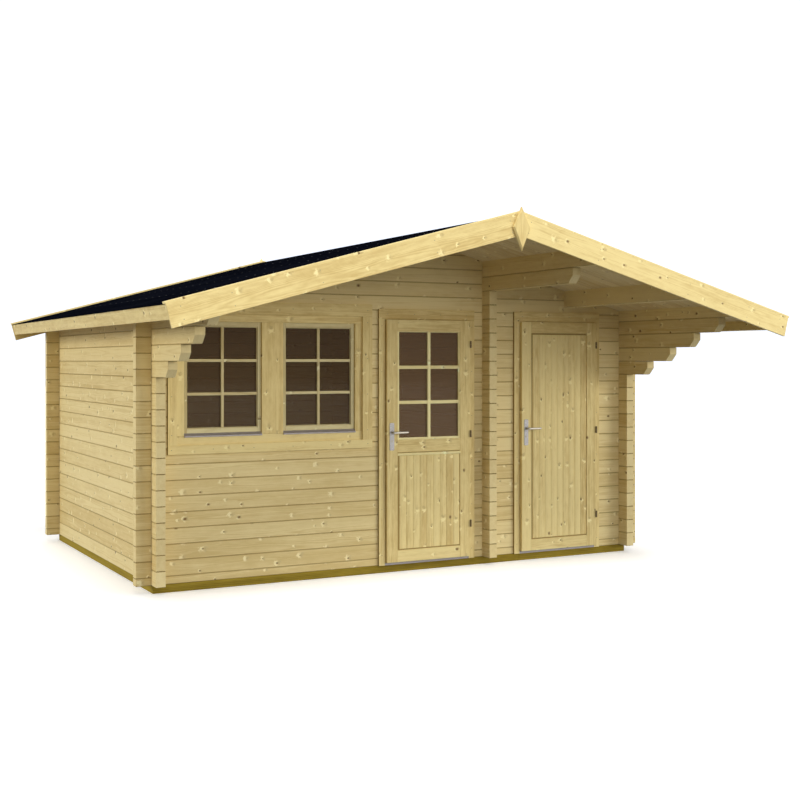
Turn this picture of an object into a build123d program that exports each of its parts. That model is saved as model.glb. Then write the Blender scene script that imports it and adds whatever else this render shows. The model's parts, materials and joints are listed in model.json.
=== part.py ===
import os
from math import ceil, cos, radians, sin, tan

from build123d import *

# Log walls, with the depth measured over the outer faces
wall_depth = 2985
log_thickness = 70
log_pitch = 114
log_bevel = 4.5
log_overhang = 113
course_gap = 0.3
fit_gap = 0.3
overrun = 50

# Grooves milled into the underside of the log ends that stand clear of a wall
groove_depth = 7
groove_half_width = 4
groove_spacing = 26

# Stepped corbels that carry the canopy
corbel_count = 4
corbel_reach = 385
corbel_step = 287
corbel_setback = 55

# Foundation and floor
beam_height = 60
beam_width = 70
beam_inset = 10
beam_joint_share = 0.738
joist_width = 60
main_joists = 4
store_joists = 2
floor_thickness = 18
floor_margin = 5

# Stretches of bare log along the front, between the boards round the openings
corner_stretch = 31
pier_stretch = 56.5
partition_stretch = 86.5
store_left_stretch = 229.5
store_right_stretch = 226.5

# Roof
roof_angle = 15.15
eave_lift = 17.35
eave_overhang = 341.55
front_overhang = 1540
rear_overhang = 245
roof_board_thickness = 18
felt_thickness = 3
felt_drip = 8
barge_thickness = 20
barge_depth = 150
barge_lap = 5
strip_thickness = 15
strip_width = 45
strip_end_lap = 5
fascia_thickness = 20
fascia_depth = 95
outer_purlin_share = 0.6927
purlin_least_depth = 90
finial_width = 140
finial_height = 305
finial_rise = 27
finial_widest_share = 0.47
finial_thickness = 22
finial_bevel = 9

# Window unit
sash_width = 598
sash_height = 830
mullion_width = 172
frame_margin = 56
frame_head = 110
frame_least_foot = 80
casing_width = 84
casing_foot = 65
casing_head = 94
frame_foot = 65
casing_lap = 20
casing_thickness = 20
sash_recess = 18
sash_thickness = 45
sash_stile = 26
sash_rail_bottom = 52
sash_rail_top = 34
glass_thickness = 4
drip_height = 28
drip_nose = 12
drip_lip = 9
drip_drop = 8

# Doors, both alike apart from the glazing
leaf_width = 755
leaf_height = 1900
leaf_thickness = 42
stile_width = 94
top_rail = 92
bottom_rail = 92
lock_rail = 96
lower_panel_height = 767
panel_thickness = 18
panel_recess = 11
door_gap = 5
jamb_width = 45
head_least = 50
leaf_lap = 15
door_casing_width = 53
door_casing_head = 78
threshold_height = 17
threshold_nose = 18

# Door furniture
hinge_radius = 7
hinge_height = 56
hinge_flag = 2.5
hinge_side = 2.5
hinge_lead = 1
hinge_height_shares = (0.14, 0.52, 0.90)
plate_width = 40
plate_height = 215
plate_thickness = 3
plate_corner = 6
plate_inset = 42
plate_centre = 984
lever_above = 32
lever_length = 122
lever_width = 18
lever_thickness = 9
lever_corner = 5
lever_standoff = 38
neck_radius = 9
spindle_side = 8
spindle_hole_radius = 7
rod_sides = 12

# Places along the front, counted from the outer face of the left wall
window_left = log_thickness + corner_stretch + casing_width
window_span = 2 * frame_margin + 2 * sash_width + mullion_width
door_reach = leaf_width / 2 + door_gap + door_casing_width
main_door_centre = window_left + window_span + casing_width + pier_stretch + door_reach
partition_left = main_door_centre + door_reach + partition_stretch
store_door_centre = partition_left + log_thickness + store_left_stretch + door_reach
wall_width = store_door_centre + door_reach + store_right_stretch + log_thickness

# Heights, with the openings closed by a whole course and the roof set on the walls
half_course = log_pitch / 2
leaf_bottom = beam_height + threshold_height + door_gap
leaf_top = leaf_bottom + leaf_height
head_low = leaf_top - leaf_lap
opening_courses = ceil((head_low + head_least - beam_height - half_course) / log_pitch)
opening_top = beam_height + half_course + opening_courses * log_pitch
sash_top = opening_top - frame_head
sash_bottom = sash_top - sash_height
window_courses = ceil((frame_head + sash_height + frame_least_foot) / log_pitch)
slope = tan(radians(roof_angle))
slope_cos = cos(radians(roof_angle))
slope_sin = sin(radians(roof_angle))
ridge_height = opening_top + eave_lift + slope * wall_width / 2
slope_length = (wall_width / 2 + eave_overhang) / slope_cos

# Places that follow from the sizes above
x_left = -wall_width / 2
x_right = wall_width / 2
front_reach = front_overhang + finial_thickness
rear_reach = rear_overhang + finial_thickness
y_front = (front_reach - wall_depth - rear_reach) / 2
y_rear = y_front + wall_depth
roof_front = y_front - front_overhang
roof_rear = y_rear + rear_overhang
boards_front = roof_front + barge_thickness
boards_rear = roof_rear - barge_thickness
roof_skin = roof_board_thickness + felt_thickness
partition_x = x_left + partition_left
partition_right = partition_x + log_thickness
outer_purlin_offset = outer_purlin_share * wall_width / 2


def side_level(course):
    """Underside of a log in the side walls and the partition."""
    return beam_height + course * log_pitch


def front_level(course):
    """Underside of a log in the front and rear walls, half a course higher."""
    return beam_height + half_course + course * log_pitch


def roof_under(x):
    """Height of the underside of the roof boards above a point."""
    return ridge_height - slope * abs(x)


def bevelled_rectangle(width, height, corner):
    """A rectangle about zero with its four corners cut off."""
    x = width / 2
    y = height / 2
    return Polygon(
        (-x + corner, -y),
        (x - corner, -y),
        (x, -y + corner),
        (x, y - corner),
        (x - corner, y),
        (-x + corner, y),
        (-x, y - corner),
        (-x, -y + corner),
        align=None,
    )


def log_section(height):
    """End profile of a milled log with bevelled long edges, standing on zero."""
    return Pos(0, height / 2) * bevelled_rectangle(log_thickness, height, log_bevel)


def rod(origin, direction, radius, length):
    """A slim round piece, drawn with a few flat sides, that starts at a point."""
    plane = Plane(origin=origin, z_dir=direction)
    return extrude(plane * RegularPolygon(radius, rod_sides), amount=length, dir=direction)


def block(x_low, x_high, y_low, y_high, z_low, z_high):
    """A box given by its faces."""
    return Pos((x_low + x_high) / 2, (y_low + y_high) / 2, (z_low + z_high) / 2) * Box(
        x_high - x_low, y_high - y_low, z_high - z_low
    )


def across_log(x_low, x_high, y_face, z_low, height, crossings):
    """A log of the front or rear wall, saddled over the logs it crosses."""
    centre = y_face + log_thickness / 2
    plane = Plane(origin=(x_low, centre, z_low), x_dir=(0, 1, 0), z_dir=(1, 0, 0))
    log = extrude(plane * log_section(height), amount=x_high - x_low, dir=(1, 0, 0))
    for x in crossings:
        log -= block(
            x - fit_gap, x + log_thickness + fit_gap,
            y_face - overrun, y_face + log_thickness + overrun,
            z_low - overrun, z_low + half_course,
        )
    return log


def along_log(x_face, y_low, y_high, z_low, height, crossings):
    """A log of a side wall or the partition, saddled over the logs it crosses."""
    centre = x_face + log_thickness / 2
    plane = Plane(origin=(centre, y_low, z_low), x_dir=(-1, 0, 0), z_dir=(0, 1, 0))
    log = extrude(plane * log_section(height), amount=y_high - y_low, dir=(0, 1, 0))
    for y in crossings:
        log -= block(
            x_face - overrun, x_face + log_thickness + overrun,
            y - fit_gap, y + log_thickness + fit_gap,
            z_low - overrun, z_low + half_course,
        )
    return log


def groove_end(log, x_face, y_low, y_high, z_low):
    """Mills two grooves into the underside of a log over a stretch of its length."""
    middle = x_face + log_thickness / 2
    for x in (middle - groove_spacing / 2, middle + groove_spacing / 2):
        outline = Polygon(
            (x, z_low + groove_depth),
            (x - groove_half_width, z_low),
            (x - groove_half_width, z_low - overrun),
            (x + groove_half_width, z_low - overrun),
            (x + groove_half_width, z_low),
            align=None,
        )
        plane = Plane(origin=(0, y_low, 0), x_dir=(1, 0, 0), z_dir=(0, -1, 0))
        log -= extrude(plane * outline, amount=y_high - y_low, dir=(0, 1, 0))
    return log


def corbel_end(log, x_face, y_end, z_low):
    """Cuts the lower half of a log's front end back at a slant."""
    outline = Polygon(
        (y_end - overrun, z_low + half_course),
        (y_end, z_low + half_course),
        (y_end + corbel_setback, z_low),
        (y_end + corbel_setback, z_low - overrun),
        (y_end - overrun, z_low - overrun),
        align=None,
    )
    plane = Plane(origin=(x_face - overrun, 0, 0), x_dir=(0, 1, 0), z_dir=(1, 0, 0))
    return log - extrude(plane * outline, amount=log_thickness + overrun + overrun, dir=(1, 0, 0))


def roof_prism(x_low, x_high, bottom, top, y_low, y_high):
    """A layer of one roof slope between two heights square to the slope, cut upright at the ridge.

    The x range is given as distances along the slope from the ridge, on the side of its sign."""
    side = 1 if x_high > 0 else -1
    length_low, length_high = sorted((abs(x_low), abs(x_high)))

    def corner(length, lift):
        if length == 0:
            return (0, ridge_height + lift / slope_cos)
        across = length * slope_cos + lift * slope_sin
        return (side * across, ridge_height - length * slope_sin + lift * slope_cos)

    outline = Polygon(
        corner(length_low, bottom),
        corner(length_low, top),
        corner(length_high, top),
        corner(length_high, bottom),
        align=None,
    )
    plane = Plane(origin=(0, y_low, 0), x_dir=(1, 0, 0), z_dir=(0, -1, 0))
    return extrude(plane * outline, amount=y_high - y_low, dir=(0, 1, 0))


def solids_of(*shapes):
    """All solids of some shapes as one list."""
    return [solid for shape in shapes for solid in shape.solids()]


def save(node, *shapes):
    """Writes the solids of one node."""
    export_step(Compound(children=solids_of(*shapes)), f"parts/{node}.step")


os.makedirs("parts", exist_ok=True)

log_height = log_pitch - course_gap
half_height = half_course - course_gap
gable_crossings = (y_front, y_rear - log_thickness)
notch_front = y_front + log_thickness / 2
notch_rear = y_rear - log_thickness / 2
roof_reach = wall_width
roof_room = extrude(
    Plane(origin=(0, roof_front - overrun, 0), x_dir=(1, 0, 0), z_dir=(0, -1, 0))
    * Polygon(
        (0, ridge_height - fit_gap),
        (roof_reach, roof_under(roof_reach) - fit_gap),
        (roof_reach, ridge_height + roof_reach),
        (-roof_reach, ridge_height + roof_reach),
        (-roof_reach, roof_under(roof_reach) - fit_gap),
        align=None,
    ),
    amount=roof_rear - roof_front + overrun + overrun,
    dir=(0, 1, 0),
)


# Side walls: plain courses, four corbels and the top log under the roof boards
def side_wall(x_face):
    logs = []
    for course in range(opening_courses):
        step = course - (opening_courses - corbel_count)
        y_end = y_front - log_overhang
        if step >= 0:
            y_end = y_front - corbel_reach - step * corbel_step
        level = side_level(course)
        log = along_log(x_face, y_end, y_rear + log_overhang, level, log_height, gable_crossings)
        if step >= 0:
            log = corbel_end(log, x_face, y_end, level)
        log = groove_end(log, x_face, y_end - overrun, notch_front, level)
        logs.append(groove_end(log, x_face, notch_rear, y_rear + log_overhang + overrun, level))
    level = side_level(opening_courses)
    top_height = roof_under(wall_width / 2 - log_thickness) + overrun - level
    top_log = along_log(x_face, boards_front, boards_rear, level, top_height, gable_crossings)
    logs.append(top_log - roof_room)
    return logs


save("left_wall_logs", *side_wall(x_left))
save("right_wall_logs", *side_wall(x_right - log_thickness))

# Purlins: logs from bargeboard to bargeboard, bevelled to the roof boards
def purlin_course(x_face):
    """Course of the lowest log line that leaves a purlin its least depth."""
    outer_edge = max(abs(x_face), abs(x_face + log_thickness))
    return int((roof_under(outer_edge) - purlin_least_depth - beam_height) / log_pitch)


def purlin(x_face, level, crossings):
    height = ridge_height + overrun - level
    return along_log(x_face, boards_front, boards_rear, level, height, crossings) - roof_room


gable_courses = int((ridge_height - opening_top) / log_pitch)
ridge_level = opening_top + (gable_courses - 1) * log_pitch
twin_x = -partition_right
outer_x = -outer_purlin_offset - log_thickness
purlins = [purlin(-log_thickness / 2, ridge_level, ())]
for x_face in (twin_x, outer_x, outer_purlin_offset):
    purlins.append(purlin(x_face, side_level(purlin_course(x_face)), gable_crossings))
save("purlins", *purlins)

# Partition: its two highest logs run out under the canopy as bracket and purlin
partition_top = purlin_course(partition_x)
partition = []
for course in range(partition_top):
    level = side_level(course)
    is_bracket = course == partition_top - 1
    y_end = y_front - log_overhang
    if is_bracket:
        y_end = y_front - corbel_reach - (corbel_count - 1) * corbel_step
    log = along_log(partition_x, y_end, y_rear + log_overhang, level, log_height, gable_crossings)
    if is_bracket:
        log = corbel_end(log, partition_x, y_end, level)
    partition.append(groove_end(log, partition_x, y_end - overrun, notch_front, level))
partition.append(purlin(partition_x, side_level(partition_top), gable_crossings))
save("partition_logs", *partition)


# Gables: logs cut to the roof slopes and parted where a purlin passes
def gable(y_face):
    passing = [(-log_thickness / 2, ridge_level)]
    for x_face in (partition_x, twin_x, outer_x, outer_purlin_offset):
        passing.append((x_face, side_level(purlin_course(x_face)) + half_course))
    partition_core = side_level(partition_top) + half_course
    logs = []
    for course in range(gable_courses):
        level = opening_top + course * log_pitch
        is_top = course == gable_courses - 1
        height = ridge_height + overrun - level if is_top else log_height
        half_length = min((ridge_height - level) / slope, wall_width / 2 - log_thickness) - fit_gap
        crossings = (partition_x,) if level + half_course < partition_core else ()
        log = across_log(-half_length, half_length, y_face, level, height, crossings) - roof_room
        for x_face, core in passing:
            if level + half_course > core:
                log -= block(
                    x_face - fit_gap, x_face + log_thickness + fit_gap,
                    y_face - overrun, y_face + log_thickness + overrun,
                    core - course_gap / 2, ridge_height + overrun,
                )
        logs.append(log)
    return logs


rear_face = y_rear - log_thickness
save("front_gable_logs", *gable(y_front))
save("rear_gable_logs", *gable(rear_face))


# Front and rear walls below the gables
def stack(x_low, x_high, y_face, courses, crossings):
    """Logs of some courses, one above the other, with the ends of the highest cut to the roof."""
    logs = [
        across_log(x_low, x_high, y_face, front_level(course), log_height, crossings)
        for course in courses
    ]
    if courses[-1] == opening_courses - 1:
        logs[-1] -= roof_room
    return logs


def half_log(x_low, x_high, y_face):
    """The half-height log that starts the front and rear walls."""
    return across_log(x_low, x_high, y_face, beam_height, half_height, ())


log_end_left = x_left - log_overhang
log_end_right = x_right + log_overhang
right_wall_x = x_right - log_thickness
all_courses = range(opening_courses)
rear_crossings = (x_left, partition_x, right_wall_x)
save(
    "rear_wall_logs",
    half_log(log_end_left, log_end_right, rear_face),
    *stack(log_end_left, log_end_right, rear_face, all_courses, rear_crossings),
)

hole_half = leaf_width / 2 - leaf_lap + jamb_width
main_x = x_left + main_door_centre
store_x = x_left + store_door_centre
window_inner = x_left + window_left
window_outer = window_inner + window_span
window_hole_left = window_inner - casing_lap
window_hole_right = window_outer + casing_lap
window_sill = opening_top - window_courses * log_pitch
low_courses = range(opening_courses - window_courses)
high_courses = range(opening_courses - window_courses, opening_courses)
save(
    "front_under_window_logs",
    half_log(log_end_left, main_x - hole_half, y_front),
    *stack(log_end_left, main_x - hole_half, y_front, low_courses, (x_left,)),
)
save("front_corner_logs", *stack(log_end_left, window_hole_left, y_front, high_courses, (x_left,)))
save("front_pier_logs", *stack(window_hole_right, main_x - hole_half, y_front, high_courses, ()))
save(
    "front_middle_logs",
    half_log(main_x + hole_half, store_x - hole_half, y_front),
    *stack(main_x + hole_half, store_x - hole_half, y_front, all_courses, (partition_x,)),
)
save(
    "front_right_logs",
    half_log(store_x + hole_half, log_end_right, y_front),
    *stack(store_x + hole_half, log_end_right, y_front, all_courses, (right_wall_x,)),
)

# Foundation beams under the walls, joists under the floor
beam_left = x_left + beam_inset
beam_right = x_right - beam_inset
beam_front = y_front
beam_rear = y_rear - beam_inset
inner_front = beam_front + beam_width + fit_gap
inner_rear = beam_rear - beam_width - fit_gap
joint_x = x_left + beam_joint_share * wall_width
partition_middle = partition_x + log_thickness / 2
long_beams = [
    block(beam_left, joint_x - fit_gap, beam_front, beam_front + beam_width, 0, beam_height),
    block(joint_x, beam_right, beam_front, beam_front + beam_width, 0, beam_height),
    block(beam_left, beam_right, beam_rear - beam_width, beam_rear, 0, beam_height),
]
cross_beams = [
    block(x, x + beam_width, inner_front, inner_rear, 0, beam_height)
    for x in (beam_left, partition_middle - beam_width / 2, beam_right - beam_width)
]


def joists(x_low, x_high, count):
    """Joists spread evenly between two beams."""
    pitch = (x_high - x_low) / (count + 1)
    centres = [x_low + pitch * (index + 1) for index in range(count)]
    half = joist_width / 2
    return [block(x - half, x + half, inner_front, inner_rear, 0, beam_height) for x in centres]


main_room_left = x_left + log_thickness
store_room_right = x_right - log_thickness
save(
    "foundation_beams",
    *long_beams,
    *cross_beams,
    *joists(main_room_left, partition_x, main_joists),
    *joists(partition_right, store_room_right, store_joists),
)
floor_front = y_front + log_thickness + floor_margin
floor_rear = y_rear - log_thickness - floor_margin
floor_top = beam_height + floor_thickness
save(
    "floor",
    block(
        main_room_left + floor_margin, partition_x - floor_margin,
        floor_front, floor_rear, beam_height, floor_top,
    ),
    block(
        partition_right + floor_margin, store_room_right - floor_margin,
        floor_front, floor_rear, beam_height, floor_top,
    ),
)

# Roof layers, verge boards and eaves
sides = (-1, 1)
save(
    "roof_boards",
    *[
        roof_prism(0, side * slope_length, 0, roof_board_thickness, boards_front, boards_rear)
        for side in sides
    ],
)
felt_end = slope_length + fascia_thickness + felt_drip
save(
    "roof_felt",
    *[
        roof_prism(0, side * felt_end, roof_board_thickness, roof_skin, boards_front, boards_rear)
        for side in sides
    ],
)
fascia_low = roof_board_thickness - fascia_depth
fascia_end = slope_length + fascia_thickness
save(
    "eave_fascias",
    *[
        roof_prism(
            side * (slope_length + fit_gap), side * fascia_end,
            fascia_low, roof_board_thickness, boards_front, boards_rear,
        )
        for side in sides
    ],
)
barge_low = roof_skin - barge_depth
barge_end = fascia_end + barge_lap
barge_places = ((roof_front, boards_front), (boards_rear, roof_rear))
ridge_cut = block(
    -fit_gap / 2, fit_gap / 2,
    roof_front - overrun, roof_rear + overrun,
    0, ridge_height + barge_depth,
)
save(
    "bargeboards",
    *[
        roof_prism(0, side * barge_end, barge_low, roof_skin, y_low, y_high) - ridge_cut
        for side in sides
        for y_low, y_high in barge_places
    ],
)
strip_top = roof_skin + strip_thickness
strip_places = ((roof_front, roof_front + strip_width), (roof_rear - strip_width, roof_rear))
strip_end = barge_end + strip_end_lap
save(
    "verge_cover_strips",
    *[
        roof_prism(0, side * strip_end, roof_skin, strip_top, y_low, y_high) - ridge_cut
        for side in sides
        for y_low, y_high in strip_places
    ],
)


def finial(y_back, direction):
    """A long diamond with bevelled front edges, fixed over the joint of the bargeboards."""
    half = finial_width / 2
    top = ridge_height + strip_top / slope_cos + finial_rise
    widest = top - finial_height * finial_widest_share
    outline = Polygon((0, top), (half, widest), (0, top - finial_height), (-half, widest), align=None)
    plane = Plane(origin=(0, y_back, 0), x_dir=(-direction, 0, 0), z_dir=(0, direction, 0))
    solid = extrude(plane * outline, amount=finial_thickness, dir=(0, direction, 0))
    front = solid.faces().sort_by(Axis.Y)[-1 if direction > 0 else 0]
    return chamfer(front.edges(), finial_bevel)


save("finials", finial(roof_front, -1), finial(roof_rear, 1))


# Boards round an opening, each a piece of its own
def surround(x_low, x_high, z_low, z_high, side, foot, head, y_low, y_high):
    """Four boards round the opening between the given lines, with head and foot across the sides."""
    return [
        block(x_low - side, x_high + side, y_low, y_high, z_high, z_high + head),
        block(x_low - side, x_high + side, y_low, y_high, z_low - foot, z_low),
        block(x_low - side, x_low, y_low, y_high, z_low + fit_gap, z_high - fit_gap),
        block(x_high, x_high + side, y_low, y_high, z_low + fit_gap, z_high - fit_gap),
    ]


# Window unit: casing, frame with mullion, two sashes with a pane each, drip strips
casing_low = sash_bottom - frame_foot
casing_high = sash_top + frame_margin
wall_back = y_front + log_thickness
save(
    "window_casing",
    *surround(
        window_inner, window_outer, casing_low, casing_high,
        casing_width, casing_foot, casing_head, y_front - casing_thickness, y_front,
    ),
    *surround(
        window_inner, window_outer, casing_low, casing_high,
        casing_width, casing_foot, casing_head, wall_back, wall_back + casing_thickness,
    ),
)
first_sash = window_inner + frame_margin
second_sash = first_sash + sash_width + mullion_width
frame_sides = (
    (window_hole_left + fit_gap, first_sash - fit_gap),
    (first_sash + sash_width + fit_gap, second_sash - fit_gap),
    (second_sash + sash_width + fit_gap, window_hole_right - fit_gap),
)
save(
    "window_frame",
    block(
        window_hole_left + fit_gap, window_hole_right - fit_gap,
        y_front, wall_back, window_sill, sash_bottom - fit_gap,
    ),
    block(
        window_hole_left + fit_gap, window_hole_right - fit_gap,
        y_front, wall_back, sash_top + fit_gap, opening_top - fit_gap,
    ),
    *[block(x_low, x_high, y_front, wall_back, sash_bottom, sash_top) for x_low, x_high in frame_sides],
)
sash_front = y_front + sash_recess
sash_back = sash_front + sash_thickness
pane_front = (sash_front + sash_back - glass_thickness) / 2
sashes = []
panes = []
drips = []
for x_low in (first_sash, second_sash):
    x_high = x_low + sash_width
    pane_low = sash_bottom + sash_rail_bottom
    pane_high = sash_top - sash_rail_top
    pane_left = x_low + sash_stile
    pane_right = x_high - sash_stile
    sashes += [
        block(x_low, pane_left - fit_gap, sash_front, sash_back, sash_bottom, sash_top),
        block(pane_right + fit_gap, x_high, sash_front, sash_back, sash_bottom, sash_top),
        block(pane_left, pane_right, sash_front, sash_back, sash_bottom, pane_low - fit_gap),
        block(pane_left, pane_right, sash_front, sash_back, pane_high + fit_gap, sash_top),
    ]
    pane_back = pane_front + glass_thickness
    panes.append(block(pane_left, pane_right, pane_front, pane_back, pane_low, pane_high))
    drip_outline = Polygon(
        (sash_front - fit_gap, sash_bottom),
        (sash_front - fit_gap, sash_bottom + drip_height - drip_drop),
        (y_front - drip_nose, sash_bottom - drip_drop + drip_lip),
        (y_front - drip_nose, sash_bottom - drip_drop),
        (y_front - fit_gap, sash_bottom - drip_drop),
        (y_front - fit_gap, sash_bottom),
        align=None,
    )
    drip_plane = Plane(origin=(x_low, 0, 0), x_dir=(0, 1, 0), z_dir=(1, 0, 0))
    drips.append(extrude(drip_plane * drip_outline, amount=sash_width, dir=(1, 0, 0)))
save("window_sashes", *sashes)
save("window_panes", *panes)
save("window_drip_strips", *drips)


# Doors: overlay leaves that open outwards, hinged at their right edge
leaf_back = y_front - door_gap
leaf_front = leaf_back - leaf_thickness
pivot_y = leaf_front - hinge_radius - hinge_lead
lever_height = leaf_bottom + plate_centre + lever_above


def door_frame(name, centre):
    """Jambs and head in the wall, casing boards on both faces, threshold on the beam."""
    hole_left = centre - hole_half + fit_gap
    hole_right = centre + hole_half - fit_gap
    jamb_left = centre - leaf_width / 2 + leaf_lap
    jamb_right = centre + leaf_width / 2 - leaf_lap
    jamb_foot = beam_height + threshold_height
    pieces = [
        block(hole_left, jamb_left, y_front, wall_back, jamb_foot, head_low - fit_gap),
        block(jamb_right, hole_right, y_front, wall_back, jamb_foot, head_low - fit_gap),
        block(hole_left, hole_right, y_front, wall_back, head_low, opening_top - fit_gap),
    ]
    reach = leaf_width / 2 + door_gap
    face_places = (
        (reach, beam_height, leaf_top + door_gap, y_front - casing_thickness),
        (hole_half - jamb_width / 2, floor_top, opening_top - jamb_width / 2, wall_back),
    )
    for edge, foot, head, y_low in face_places:
        outer = edge + door_casing_width
        y_high = y_low + casing_thickness
        pieces += [
            block(centre - outer, centre - edge, y_low, y_high, foot, head - fit_gap),
            block(centre + edge, centre + outer, y_low, y_high, foot, head - fit_gap),
            block(centre - outer, centre + outer, y_low, y_high, head, head + door_casing_head),
        ]
    save(f"{name}_door_frame", *pieces)
    nose = reach - fit_gap
    nose_front = y_front - threshold_nose
    threshold_top = jamb_foot - fit_gap
    save(
        f"{name}_door_threshold",
        block(hole_left, hole_right, y_front, wall_back, beam_height, threshold_top)
        + block(centre - nose, centre + nose, nose_front, y_front, beam_height, threshold_top),
    )


def spindle_hole(x, y_low, y_high):
    """The round way of a lever's spindle through plate and stile."""
    length = y_high - y_low + overrun + overrun
    return rod((x, y_low - overrun, lever_height), (0, 1, 0), spindle_hole_radius, length)


def door_leaf(name, centre, glazed):
    """Stiles and rails with a boarded panel, and a pane above it in the glazed door."""
    left = centre - leaf_width / 2
    right = centre + leaf_width / 2
    inner_left = left + stile_width
    inner_right = right - stile_width
    lower_panel = leaf_bottom + bottom_rail
    rail_top = leaf_top - top_rail
    panel_top = lower_panel + lower_panel_height if glazed else rail_top
    pivot = left + plate_inset
    pieces = [
        block(left, inner_left - fit_gap, leaf_front, leaf_back, leaf_bottom, leaf_top)
        - spindle_hole(pivot, leaf_front, leaf_back),
        block(inner_right + fit_gap, right, leaf_front, leaf_back, leaf_bottom, leaf_top),
        block(inner_left, inner_right, leaf_front, leaf_back, leaf_bottom, lower_panel - fit_gap),
        block(inner_left, inner_right, leaf_front, leaf_back, rail_top + fit_gap, leaf_top),
    ]
    if glazed:
        pane_low = panel_top + lock_rail
        glass_front = (leaf_front + leaf_back - glass_thickness) / 2
        glass_back = glass_front + glass_thickness
        rail_low = panel_top + fit_gap
        rail_high = pane_low - fit_gap
        pieces.append(block(inner_left, inner_right, leaf_front, leaf_back, rail_low, rail_high))
        save(
            f"{name}_door_pane",
            block(inner_left, inner_right, glass_front, glass_back, pane_low, rail_top),
        )
    save(f"{name}_door_leaf", *pieces)
    panel_front = leaf_front + panel_recess
    panel_back = panel_front + panel_thickness
    save(
        f"{name}_door_panel",
        block(inner_left, inner_right, panel_front, panel_back, lower_panel, panel_top),
    )


def door_hinges(name, centre):
    """Barrel hinges in two halves, the upper on the leaf's edge and the lower on the casing's edge."""
    edge = centre + leaf_width / 2
    pivot_x = edge + hinge_side
    casing_edge = edge + door_gap
    half = hinge_height / 2
    knuckle = half - fit_gap
    barrel = rod((pivot_x, pivot_y, 0), (0, 0, 1), hinge_radius, knuckle)
    upper_flag = block(edge, edge + hinge_flag, pivot_y, leaf_back, 0, knuckle)
    lower_flag = block(casing_edge - hinge_flag, casing_edge, pivot_y, y_front, 0, knuckle)
    uppers = []
    lowers = []
    for share in hinge_height_shares:
        middle = leaf_bottom + share * leaf_height
        uppers.append(Pos(0, 0, middle + fit_gap) * (barrel + upper_flag))
        lowers.append(Pos(0, 0, middle - half) * (barrel + lower_flag))
    save(f"{name}_door_hinges", *uppers)
    save(f"{name}_door_hinge_sockets", *lowers)


def door_handle(name, centre):
    """A plate on each face and one lever piece whose spindle passes through both."""
    pivot = centre - leaf_width / 2 + plate_inset
    outline = bevelled_rectangle(plate_width, plate_height, plate_corner)
    plates = []
    for y_face, direction in ((leaf_front, -1), (leaf_back, 1)):
        plane = Plane(
            origin=(pivot, y_face, leaf_bottom + plate_centre),
            x_dir=(-direction, 0, 0), z_dir=(0, direction, 0),
        )
        plate = extrude(plane * outline, amount=plate_thickness, dir=(0, direction, 0))
        plates.append(plate - spindle_hole(pivot, y_face - plate_thickness, y_face + plate_thickness))
    save(f"{name}_door_plates", *plates)
    spindle_front = leaf_front - plate_thickness - lever_standoff / 2
    spindle_back = leaf_back + plate_thickness + lever_standoff / 2
    half_side = spindle_side / 2
    lever = block(
        pivot - half_side, pivot + half_side,
        spindle_front, spindle_back,
        lever_height - half_side, lever_height + half_side,
    )
    arm_outline = bevelled_rectangle(lever_length + lever_width, lever_width, lever_corner)
    neck_length = lever_standoff - lever_thickness - fit_gap
    for y_face, direction in ((leaf_front - plate_thickness, -1), (leaf_back + plate_thickness, 1)):
        neck_start = (pivot, y_face + direction * fit_gap, lever_height)
        lever += rod(neck_start, (0, direction, 0), neck_radius, neck_length)
        arm_y = y_face + direction * (lever_standoff - lever_thickness)
        arm_plane = Plane(
            origin=(pivot + lever_length / 2, arm_y, lever_height),
            x_dir=(1, 0, 0), z_dir=(0, -1, 0),
        )
        lever += extrude(arm_plane * arm_outline, amount=lever_thickness, dir=(0, direction, 0))
    save(f"{name}_door_lever", lever)


for name, centre, glazed in (("main", main_x, True), ("store", store_x, False)):
    door_frame(name, centre)
    door_leaf(name, centre, glazed)
    door_hinges(name, centre)
    door_handle(name, centre)
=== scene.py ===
# %% [markdown]
# # A garden log cabin, dressed in wood, felt, glass and metal
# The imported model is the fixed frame: every log, beam, door and hinge already has its place
# and its size there. This lesson adds what a camera sees: planed spruce with grain and knots,
# boarded doors and roof, glazing bars, felt, fittings and light. Everything is in metres in
# the frame's own axes, with X along the front, Y to the back and Z up.

# %% Load the frame and keep its box
import json
import math
import random

import bmesh
import bpy
from mathutils import Matrix, Vector

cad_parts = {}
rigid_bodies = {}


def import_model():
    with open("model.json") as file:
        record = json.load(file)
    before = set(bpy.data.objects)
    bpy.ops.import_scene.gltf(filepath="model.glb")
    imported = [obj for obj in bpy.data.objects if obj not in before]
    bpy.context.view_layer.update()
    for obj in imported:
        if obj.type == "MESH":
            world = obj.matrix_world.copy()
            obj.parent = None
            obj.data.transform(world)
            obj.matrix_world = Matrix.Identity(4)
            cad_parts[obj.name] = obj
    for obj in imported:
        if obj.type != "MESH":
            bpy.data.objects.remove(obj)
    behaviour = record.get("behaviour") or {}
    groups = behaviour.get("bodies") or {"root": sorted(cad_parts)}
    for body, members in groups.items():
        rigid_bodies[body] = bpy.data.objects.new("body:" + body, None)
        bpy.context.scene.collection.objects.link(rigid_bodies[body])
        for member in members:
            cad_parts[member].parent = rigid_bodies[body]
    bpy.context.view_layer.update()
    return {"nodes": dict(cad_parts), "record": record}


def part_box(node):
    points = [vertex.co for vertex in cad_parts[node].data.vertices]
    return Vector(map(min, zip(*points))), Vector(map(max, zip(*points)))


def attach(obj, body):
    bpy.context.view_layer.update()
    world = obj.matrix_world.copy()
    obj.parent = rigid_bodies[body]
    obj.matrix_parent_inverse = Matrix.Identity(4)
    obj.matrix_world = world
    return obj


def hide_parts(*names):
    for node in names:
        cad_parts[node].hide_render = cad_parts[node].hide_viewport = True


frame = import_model()
scene = bpy.context.scene

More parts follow.
